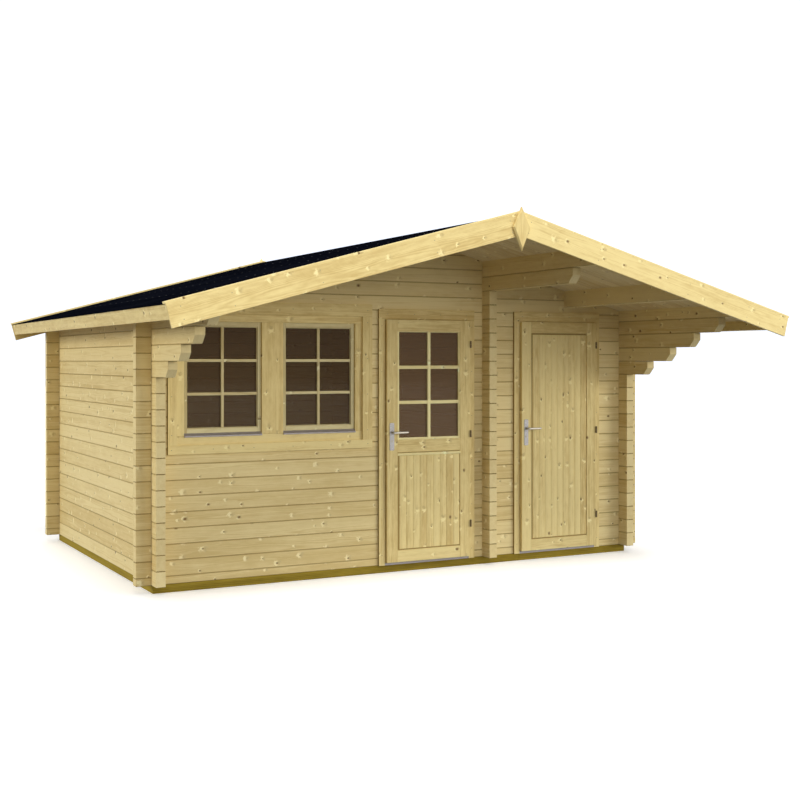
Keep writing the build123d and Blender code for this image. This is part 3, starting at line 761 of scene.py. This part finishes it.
PANEL_BOARDS = 9
GROOVE_LEFT = 0.018
GROOVE_HEAD = 0.014
GROOVE_FOOT = 0.010
GROOVE_DEPTH = 0.002
PANEL_BACK = 0.009
PANEL_FACE = 0.006
WEATHER_BAR = 0.027
BAR_PROUD = 0.004
BAR_SHADE_LINE = 0.006
for door, seed in (("main", 11), ("store", 23)):
    low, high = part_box(f"{door}_door_panel")
    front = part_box(f"{door}_door_leaf")[0].y
    middle = high.y - PANEL_BACK
    head = high.z - (WEATHER_BAR if door == "main" else GROOVE_HEAD)
    foot = low.z + GROOVE_FOOT
    left = low.x + GROOVE_LEFT
    face = front + PANEL_FACE
    deep = face + GROOVE_DEPTH
    made = [
        sticks_in((low.x, middle, low.z), high, UP, RIGHT, board_spruce, seed, PANEL_BOARDS),
        sticks_in((left, face, foot), (high.x, middle, head), UP, RIGHT, board_spruce, seed + 1,
                  PANEL_BOARDS, PANEL_EDGE),
        # The dark strips in the grooves round the panel are painted shade
        groove_shade_strip((low.x, deep, foot), (left, middle, head), UP, RIGHT, seed + 3),
        groove_shade_strip((low.x, deep, low.z), (high.x, middle, foot), RIGHT, UP, seed + 4),
    ]
    if door == "main":
        top = high.z - BAR_SHADE_LINE
        made.append(sticks_in((low.x, front - BAR_PROUD, head), (high.x, middle, top), RIGHT, UP,
                              bar_spruce, seed + 2, 1, PANEL_EDGE))
        made.append(groove_shade_strip((low.x, deep, top), (high.x, middle, high.z), RIGHT, UP, seed + 5))
    else:
        made.append(groove_shade_strip((low.x, deep, head), (high.x, middle, high.z), RIGHT, UP, seed + 2))
    assembled(f"{door}_door_boards", made, f"{door}_door", [f"{door}_door_panel"])

# %% [markdown]
# ## Window and door glazing
# Each pane is divided by slim bars into two columns of three, outside and inside. They are the
# same stick again, only smaller, so the same tree makes them, with a bead round the glass.

# %% Bars and beads
def beads(outer, inner, near, far, seed, wood):
    """Four strips between the frame's opening and the visible glass."""
    (x0, x1, z0, z1), (a0, a1, c0, c1) = outer, inner
    return [
        sticks_in((x0, near, z0), (a0, far, z1), UP, RIGHT, wood, seed),
        sticks_in((a1, near, z0), (x1, far, z1), UP, RIGHT, wood, seed + 1),
        sticks_in((a0, near, z0), (a1, far, c0), RIGHT, UP, wood, seed + 2),
        sticks_in((a0, near, c1), (a1, far, z1), RIGHT, UP, wood, seed + 3),
    ]


BAR_LAP = 0.0006


def glazing(depth, glass, outer, margins, bar, insets, wood, seed):
    """Bars and beads on both faces of a pane.

    depth and glass bound the frame and the pane from front to back, margins are the beads' widths
    at sides, foot and head, and insets the steps from the frame's faces to bars and beads.
    """
    side, foot, head = margins
    inner = (outer[0] + side, outer[1] - side, outer[2] + foot, outer[3] - head)
    x0, x1, z0, z1 = inner
    third = (z1 - z0) / 3
    middle = (x0 + x1) / 2
    made = []
    faces = ((depth[0] + insets[0], glass[0]), (glass[1], depth[1] - insets[0]))
    for index, (near, far) in enumerate(faces):
        key = seed + 10 * index
        made.append(sticks_in((middle - bar / 2, near, z0), (middle + bar / 2, far, z1), UP, RIGHT,
                              wood, key))
        # The level bars lie a hair deeper, so no two faces share a plane
        if index == 0:
            near += BAR_LAP
        else:
            far -= BAR_LAP
        for share in (1, 2):
            level = z0 + share * third
            made.append(sticks_in((x0, near, level - bar / 2), (x1, far, level + bar / 2), RIGHT, UP,
                                  wood, key + share))
    made += beads(outer, inner, depth[0] + insets[1], glass[0], seed + 20, wood)
    made += beads(outer, inner, glass[1], depth[1] - insets[1], seed + 30, wood)
    return made


SASH_WIDTH = 0.598
SASH_STILE = 0.026
WINDOW_BAR = 0.022
WINDOW_BEAD = (0.006, 0.006, 0.006)
WINDOW_INSETS = (0.006, 0.008)
pane_low, pane_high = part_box("window_panes")
sash_low, sash_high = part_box("window_sashes")
made = []
for left, seed in ((sash_low.x, 40), (sash_high.x - SASH_WIDTH, 140)):
    outer = (left + SASH_STILE, left + SASH_WIDTH - SASH_STILE, pane_low.z, pane_high.z)
    made += glazing((sash_low.y, sash_high.y), (pane_low.y, pane_high.y), outer, WINDOW_BEAD,
                    WINDOW_BAR, WINDOW_INSETS, sash_spruce, seed)
assembled("window_glazing_bars", made, "cabin")

DOOR_BAR = 0.027
DOOR_BEAD = (0.015, 0.019, 0.006)
DOOR_INSETS = (0.004, 0.004)
glass_low, glass_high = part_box("main_door_pane")
leaf_low, leaf_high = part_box("main_door_leaf")
outer = (glass_low.x, glass_high.x, glass_low.z, glass_high.z)
made = glazing((leaf_low.y, leaf_high.y), (glass_low.y, glass_high.y), outer, DOOR_BEAD,
               DOOR_BAR, DOOR_INSETS, bar_spruce, 240)
assembled("main_door_glazing_bars", made, "main_door")
for node, glass in (("window_panes", pane_glass), ("main_door_pane", door_glass)):
    frame["nodes"][node].data.materials.clear()
    frame["nodes"][node].data.materials.append(glass)

# %% [markdown]
# ## Roof and floor boards
# From below, the roof shows boards that run from ridge to eave, across the purlins. The floor's
# boards cross the joists the same way. Both are rows of sticks; the roof's two rows lean.

# %% Roof boards and floor boards
ROOF_BOARDS = 50
FLOOR_BOARDS = 30
BOARD_THICKNESS = 0.018
FLOOR_MARGIN = 0.005
FLOOR_EDGE = 0.002
board_low, board_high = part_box("roof_boards")
ridge = board_high.z - BOARD_THICKNESS / math.cos(ROOF_LEAN)
slope_length = (board_high.x - BOARD_THICKNESS * math.sin(ROOF_LEAN)) / math.cos(ROOF_LEAN)
roof_sides = []
for side in (-1, 1):
    down = Vector((side * math.cos(ROOF_LEAN), 0, -math.sin(ROOF_LEAN)))
    out = Vector((side * math.sin(ROOF_LEAN), 0, math.cos(ROOF_LEAN)))
    roof_sides.append((side, down, out, Vector((0, side, 0))))


def on_roof(down, out, distance, lift, y):
    """A point of a slope, by its distance from the ridge and its lift off the boards' underside."""
    return Vector((0, y, ridge)) + down * distance + out * lift


made = []
board_width = (board_high.y - board_low.y) / ROOF_BOARDS
for side, down, out, width_axis in roof_sides:
    start = on_roof(down, out, slope_length / 2, BOARD_THICKNESS / 2, board_low.y + board_width / 2)
    made.append(laid((down, width_axis), (slope_length, board_width, BOARD_THICKNESS), start,
                     (0, board_width, 0), ROOF_BOARDS, BOARD_EDGE, roof_spruce, 300 + side))
assembled("roof_boarding", made, "cabin", ["roof_boards"])
print("ridge at", round(ridge, 3))

floor_low, floor_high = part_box("floor")
partition_low, partition_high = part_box("partition_logs")
rooms = ((floor_low.x, partition_low.x - FLOOR_MARGIN), (partition_high.x + FLOOR_MARGIN, floor_high.x))
made = [
    sticks_in((x0, floor_low.y, floor_low.z), (x1, floor_high.y, floor_high.z), RIGHT, BACK, roof_spruce,
              320 + index, FLOOR_BOARDS, FLOOR_EDGE)
    for index, (x0, x1) in enumerate(rooms)
]
assembled("floor_boarding", made, "cabin", ["floor"])

# %% [markdown]
# ## Felt
# The roof is covered with strips of felt that start at the eave. Each strip laps over the one
# below it, so its lower edge is lifted by the thickness of a sheet. The strips are sticks that
# are very wide and thin. A folded strip closes the ridge: its section is a bent ribbon that is
# drawn out along the roof, because two flat strips would leave a slit at the top.

# %% Felt strips and ridge strip
SMOOTH = math.radians(40)


def skinned(rings, material):
    """Skins a row of rings of points, caps both ends and turns the faces outwards."""
    bm = bmesh.new()
    rings = [[bm.verts.new(point) for point in ring] for ring in rings]
    for first, second in zip(rings, rings[1:]):
        count = len(first)
        for k in range(count):
            bm.faces.new((first[k], first[(k + 1) % count], second[(k + 1) % count], second[k]))
    bm.faces.new(rings[0])
    bm.faces.new(rings[-1])
    bmesh.ops.recalc_face_normals(bm, faces=bm.faces)
    mesh = bpy.data.meshes.new("skin")
    bm.to_mesh(mesh)
    bm.free()
    mesh.shade_smooth()
    mesh.set_sharp_from_angle(angle=SMOOTH)
    mesh.materials.append(material)
    return mesh


FELT_SHEET = 0.0015
FELT_EDGE = 0.0004
FELT_STRIPS = 5
FELT_LAP = 0.07
FELT_REACH = 0.028
NAIL_LINE = 0.025
RIDGE_STRIP = 0.17
RIDGE_SHEETS = 1.5
FOLD = 0.02
FOLD_STEPS = 8
felt_length = slope_length + FELT_REACH
exposed = (felt_length - FELT_LAP) / FELT_STRIPS
made = []
felt_edges = []
for side, down, out, width_axis in roof_sides:
    wide = exposed + FELT_LAP
    tilt = FELT_SHEET / wide
    fall = (down + out * tilt).normalized()
    first = on_roof(down, out, felt_length - wide / 2, BOARD_THICKNESS + FELT_SHEET, 0)
    length_axis = Vector((0, -side, 0))
    made.append(laid((length_axis, fall), (board_high.y - board_low.y, wide, FELT_SHEET), first,
                     down * -exposed, FELT_STRIPS, FELT_EDGE, felt_black, 340 + side))
    for index in range(1, FELT_STRIPS):
        felt_edges.append((down, out, felt_length - index * exposed - NAIL_LINE))


def ridge_line(lift):
    """Points of the folded strip's section at one lift, from the left slope to the right one."""
    ends = [on_roof(down, out, RIDGE_STRIP, lift, 0) for _, down, out, _ in roof_sides]
    bends = [on_roof(down, out, FOLD, lift, 0) for _, down, out, _ in roof_sides]
    peak = Vector((0, 0, bends[0].z + bends[1].x * math.tan(ROOF_LEAN)))
    steps = [k / FOLD_STEPS for k in range(FOLD_STEPS + 1)]
    curve = [bends[0] * (1 - t) ** 2 + peak * (2 * t * (1 - t)) + bends[1] * t ** 2 for t in steps]
    return [ends[0], *curve, ends[1]]


under = BOARD_THICKNESS + FELT_SHEET * RIDGE_SHEETS
section = ridge_line(under + FELT_SHEET) + ridge_line(under)[::-1]
ends = [[Vector((p.x, y, p.z)) for p in section] for y in (board_low.y, board_high.y)]
made.append(skinned(ends, felt_black))
felt_edges += [(down, out, RIDGE_STRIP - NAIL_LINE) for _, down, out, _ in roof_sides]
assembled("felt_strips", made, "cabin", ["roof_felt"])

# %% [markdown]
# ## Nails and screws
# Small heads hold the boards, the felt and the plates. One tree sets a low round head on each
# given point and turns it to face outwards. The points come from the sizes of the boards.

# %% The tree for fixings, and where they sit
FRONT = (0, -1, 0)
HEAD_SIDES = 10
BRIM_SHARE = 0.55
heads = Recipe("fixing_heads", [("Radius", "Float"), ("Height", "Float"), ("Material", "Material")])
brim = heads.maths("MULTIPLY", heads.get("Radius"), BRIM_SHARE)
head = heads.out("GeometryNodeMeshCone", {}, {
    "Vertices": HEAD_SIDES, "Radius Top": brim, "Radius Bottom": heads.get("Radius"),
    "Depth": heads.get("Height"),
})
facing = heads.out("GeometryNodeInputNamedAttribute", {"data_type": "FLOAT_VECTOR"}, {"Name": "facing"})
aligned = heads.out("FunctionNodeAlignRotationToVector", {"axis": "Z"}, {"Vector": facing})
set_heads = heads.out("GeometryNodeInstanceOnPoints", {}, {
    "Points": heads.get("Geometry"), "Instance": head, "Rotation": aligned,
})
heads.close(set_heads, heads.get("Material"))


def spread(low, high, count, margin):
    """Places from low to high, with a margin at both ends."""
    return [low + margin + (high - low - 2 * margin) * k / (count - 1) for k in range(count)]


def nail_grid(y, xs, zs):
    """Nails in the fronts of boards, each with the way it faces."""
    return [((x, y, z), FRONT) for z in zs for x in xs]


BARGE_MIDDLE = 0.054
BARGE_PAIR = 0.04
PURLIN_PLACES = (0.09, 0.68, 1.5, 2.08, 2.40)
nails = []
verge_low, verge_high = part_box("bargeboards")
for y, normal in ((verge_low.y, FRONT), (verge_high.y, BACK)):
    for side, down, out, _ in roof_sides:
        for x in PURLIN_PLACES:
            for lift in (-BARGE_MIDDLE - BARGE_PAIR, -BARGE_MIDDLE + BARGE_PAIR):
                nails.append((tuple(on_roof(down, out, x / math.cos(ROOF_LEAN), lift, y)), normal))

CASING_SIDE = 0.042
CASING_FOOT = 0.033
CASING_HEAD = 0.047
CASING_CORNER = 0.1
NAIL_MARGIN = 0.04
nails += nail_grid(case_low.y, spread(case_low.x, case_high.x, 6, NAIL_MARGIN),
                   (case_low.z + CASING_FOOT, case_high.z - CASING_HEAD))
uprights = spread(case_low.z + CASING_CORNER, case_high.z - CASING_CORNER, 4, NAIL_MARGIN)
for x in (case_low.x + CASING_SIDE, case_high.x - CASING_SIDE):
    nails += nail_grid(case_low.y, [x], uprights)

JAMB_NAIL = 0.0315
HEAD_NAIL = 0.044
JAMB_FOOT = 0.09
JAMB_MARGIN = 0.05
HEAD_MARGIN = 0.02
for door in ("main", "store"):
    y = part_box(f"{door}_door_frame")[0].y
    leaf_low, leaf_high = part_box(f"{door}_door_leaf")
    for x in (leaf_low.x - JAMB_NAIL, leaf_high.x + JAMB_NAIL):
        nails += nail_grid(y, [x], spread(JAMB_FOOT, leaf_high.z, 6, JAMB_MARGIN))
    nails += nail_grid(y, spread(leaf_low.x, leaf_high.x, 4, HEAD_MARGIN), [leaf_high.z + HEAD_NAIL])

FELT_NAILS = 28
FELT_MARGIN = 0.06
NAIL_SHEETS = 2.6
felt_nails = [
    (tuple(on_roof(down, out, edge, BOARD_THICKNESS + FELT_SHEET * NAIL_SHEETS, y)), tuple(out))
    for down, out, edge in felt_edges
    for y in spread(board_low.y, board_high.y, FELT_NAILS, FELT_MARGIN)
]
made = [heads.make({"Radius": 0.0032, "Height": 0.0012, "Material": nail_metal}, nails),
        heads.make({"Radius": 0.0055, "Height": 0.0016, "Material": dark_metal_and_keyhole_shade}, felt_nails)]
assembled("nail_heads", made, "cabin")
print(len(nails) + len(felt_nails), "nails")

# %% [markdown]
# ## Hinges, levers and locks
# Turned and cast fittings are round, so they get meshes of their own. A hinge barrel, a collar
# and a key cylinder are profiles spun about an axis. A lever is a row of ovals that leaves the
# plate as a round neck, bends over and runs out as a flat grip.

# %% Spun profiles and swept levers
def ring(centre, first, second, steps, power=1.0):
    """Points round a centre on two half axes; a power below one makes the oval squarer."""
    points = []
    for k in range(steps):
        angle = 2 * math.pi * k / steps
        c, s = math.cos(angle), math.sin(angle)
        c = math.copysign(abs(c) ** power, c)
        s = math.copysign(abs(s) ** power, s)
        points.append(centre + first * c + second * s)
    return points


SPIN_STEPS = 24


def spun(profile, origin, axis, material):
    """A closed round body from (distance along the axis, radius) pairs."""
    axis = Vector(axis).normalized()
    side = axis.orthogonal().normalized()
    other = axis.cross(side)
    rings = [ring(Vector(origin) + axis * along, side * radius, other * radius, SPIN_STEPS)
             for along, radius in profile]
    return skinned(rings, material)


LEVER_PATH = (
    # along the door, out from the leaf, half height, half depth
    (0.0000, 0.0034, 0.0080, 0.0080),
    (0.0000, 0.0200, 0.0078, 0.0078),
    (0.0012, 0.0275, 0.0080, 0.0074),
    (0.0055, 0.0336, 0.0083, 0.0064),
    (0.0130, 0.0364, 0.0085, 0.0053),
    (0.0300, 0.0368, 0.0084, 0.0046),
    (0.0600, 0.0366, 0.0081, 0.0043),
    (0.0900, 0.0360, 0.0078, 0.0041),
    (0.1150, 0.0351, 0.0074, 0.0038),
    (0.1260, 0.0345, 0.0066, 0.0032),
    (0.1305, 0.0341, 0.0040, 0.0018),
)
OVAL_STEPS = 20
OVAL_POWER = 0.8


def lever_arm(pivot, face_y, outward, material):
    """One grip of a lever, on the side that outward points to."""
    rings = []
    for index, (x, y, half_height, half_depth) in enumerate(LEVER_PATH):
        before = LEVER_PATH[max(index - 1, 0)]
        after = LEVER_PATH[min(index + 1, len(LEVER_PATH) - 1)]
        run = Vector((after[0] - before[0], (after[1] - before[1]) * outward, 0)).normalized()
        across = Vector((-run.y, run.x, 0))
        centre = Vector((pivot.x + x, face_y + y * outward, pivot.z))
        rings.append(ring(centre, across * half_depth, Vector((0, 0, half_height)), OVAL_STEPS,
                          OVAL_POWER))
    return skinned(rings, material)


COLLAR = ((-0.001, 0.0125), (0.0016, 0.0125), (0.0026, 0.0113), (0.0026, 0.0088), (-0.001, 0.0088))
KEY_BARREL = ((-0.001, 0.0085), (0.0020, 0.0085), (0.0028, 0.0076), (0.0028, 0.003), (0.0016, 0.003))
KEY_DROP = 0.067
KEYWAY = (0.0012, 0.0062)
KEYWAY_DEPTH = (0.0018, 0.0031)
SCREW_INSET = 0.014
SPINDLE = 0.0045
SPINDLE_OUT = 0.004
KNUCKLE_EASE = 0.001
KNUCKLE_TIP = 0.8
FLAG_INSET = 0.0005
for door in ("main", "store"):
    leaf_low, leaf_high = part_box(f"{door}_door_leaf")
    plate_low, plate_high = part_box(f"{door}_door_plates")
    lever_low, lever_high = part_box(f"{door}_door_lever")
    pivot = Vector(((plate_low.x + plate_high.x) / 2, 0, (lever_low.z + lever_high.z) / 2))
    arms = []
    trim = []
    screws = []
    for face, plate, outward in ((leaf_low.y, plate_low.y, -1), (leaf_high.y, plate_high.y, 1)):
        arms.append(lever_arm(pivot, face, outward, lever_metal))
        normal = (0, outward, 0)
        key_z = pivot.z - KEY_DROP
        trim.append(spun(COLLAR, (pivot.x, plate, pivot.z), normal, plate_metal))
        trim.append(spun(KEY_BARREL, (pivot.x, plate, key_z), normal, lever_metal))
        # The keyway is a small dark block, painted shade for the hollow of the keyhole
        slot_low = (pivot.x - KEYWAY[0], plate + outward * KEYWAY_DEPTH[0], key_z - KEYWAY[1])
        slot_high = (pivot.x + KEYWAY[0], plate + outward * KEYWAY_DEPTH[1], key_z + KEYWAY[1])
        trim.append(sticks_in(slot_low, slot_high, UP, RIGHT, dark_metal_and_keyhole_shade, 3, 1, FINE_EDGE))
        for z in (plate_low.z + SCREW_INSET, plate_high.z - SCREW_INSET):
            screws.append(((pivot.x, plate, z), normal))
    spindle = ((leaf_low.y - SPINDLE_OUT, SPINDLE), (leaf_high.y + SPINDLE_OUT, SPINDLE))
    arms.append(spun(spindle, pivot, BACK, lever_metal))
    assembled(f"{door}_door_lever_grips", arms, f"{door}_lever", [f"{door}_door_lever"])
    trim.append(heads.make({"Radius": 0.0042, "Height": 0.0013, "Material": lever_metal}, screws))
    assembled(f"{door}_door_lock_trim", trim, f"{door}_door")
    for part, body in (("hinges", f"{door}_door"), ("hinge_sockets", "cabin")):
        node = f"{door}_door_{part}"
        low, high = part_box(node)
        flags = []
        radius = (high.x - low.x) / 2
        x = (low.x + high.x) / 2
        y = low.y + radius
        source = welded(node)
        for stick in sticks_of(source):
            zs = [v.co.z for face in stick for v in face.verts]
            xs = [v.co.x for face in stick for v in face.verts if v.co.y > y + radius]
            z0, z1 = min(zs), max(zs)
            tall = z1 - z0
            tip = radius * KNUCKLE_TIP
            knuckle = ((0, tip), (KNUCKLE_EASE, radius), (tall - KNUCKLE_EASE, radius), (tall, tip))
            flags.append(spun(knuckle, (x, y, z0), UP, hinge_metal))
            flag_low = (min(xs), y, z0 + FLAG_INSET)
            flag_high = (max(xs), high.y, z1 - FLAG_INSET)
            flags.append(sticks_in(flag_low, flag_high, BACK, UP, hinge_metal, 5, 1, FINE_EDGE))
        source.free()
        assembled(f"{node}_turned", flags, body, [node])
print("fittings made")

# %% [markdown]
# ## Light and floor
# The picture has soft light, bright on the verge boards and the left wall and dim under the
# canopy. A strong dome would flatten the corners, so it is weak and broad lamps share the work.
# Two low ones reach the wall under the canopy, a high one from the front lights the verge and
# one fills the back. The left one stands low and a little behind the front: it lights the side
# wall and the corbels, but doesn't shine along the front wall. What comes from below stands for
# the light that a pale floor throws up. The floor and the sky are plain and pale.

# %% World, lamps and floor
DOME_STRENGTH = 0.41
GROUND_STRENGTH = 0.21
SEEN_STRENGTH = 1.1
GROUND_FADE = -0.35
SKY_TINT = (0.95, 1.0, 1.12, 1.0)
dome = Finish("studio_dome", bpy.data.worlds)
scene.world = dome.block
height = dome.parts(dome.flow("ShaderNodeTexCoord", {}, {}, "Generated"))[2]
strength = dome.flow("ShaderNodeMapRange", {}, {
    "Value": height, "From Min": GROUND_FADE, "From Max": 0.0, "To Min": GROUND_STRENGTH, "To Max": 0.0,
})
strength = strength + (height > 0.0) * DOME_STRENGTH
seen = dome.flow("ShaderNodeLightPath", {}, {}, "Is Camera Ray")
strength = strength + seen * (SEEN_STRENGTH - strength)
sky = dome.flow("ShaderNodeBackground", {}, {"Color": SKY_TINT, "Strength": strength})
dome.node("ShaderNodeOutputWorld", {}, {"Surface": sky})

WARM = (1.0, 0.98, 0.93)
WARMER = (1.0, 0.97, 0.88)
LAMPS = (
    # name, bearing from the front towards the right, height, energy, breadth, colour
    ("low_front", 0, 4, 0.62, 20, WARM),
    ("low_right", 46, 11, 1.3, 30, WARM),
    ("high_front", 0, 60, 2.3, 25, WARM),
    ("left_side", -97, 10, 1.62, 20, WARMER),
    ("rear_fill", 180, 40, 1.0, 60, WARM),
)
for name, bearing, rise, energy, breadth, colour in LAMPS:
    light = bpy.data.lights.new(name, "SUN")
    light.energy = energy
    light.angle = math.radians(breadth)
    light.color = colour
    linked(name, light).rotation_euler = (math.radians(90 - rise), 0, math.radians(bearing))

FLOOR_REACH = 70
floor_mesh = bpy.data.meshes.new("studio_floor")
corners = [(x * FLOOR_REACH, y * FLOOR_REACH, 0) for x, y in ((-1, -1), (1, -1), (1, 1), (-1, 1))]
floor_mesh.from_pydata(corners, [], [(0, 1, 2, 3)])
floor_finish = Finish("pale_floor")
tint = floor_finish.noise(placed(floor_finish), 0.4, 1.0)
floor_mesh.materials.append(floor_finish.close(
    base_color=floor_finish.mix(tint * 0.2, shade(250, 250, 249), shade(246, 246, 245)), roughness=0.9,
    specular_ior_level=0.1, emission_color=(1.0, 1.0, 1.0, 1.0), emission_strength=0.3))
studio_floor = linked("studio_floor", floor_mesh)
studio_floor.visible_diffuse = False
scene.view_settings.view_transform = "Standard"
print("light and floor ready")
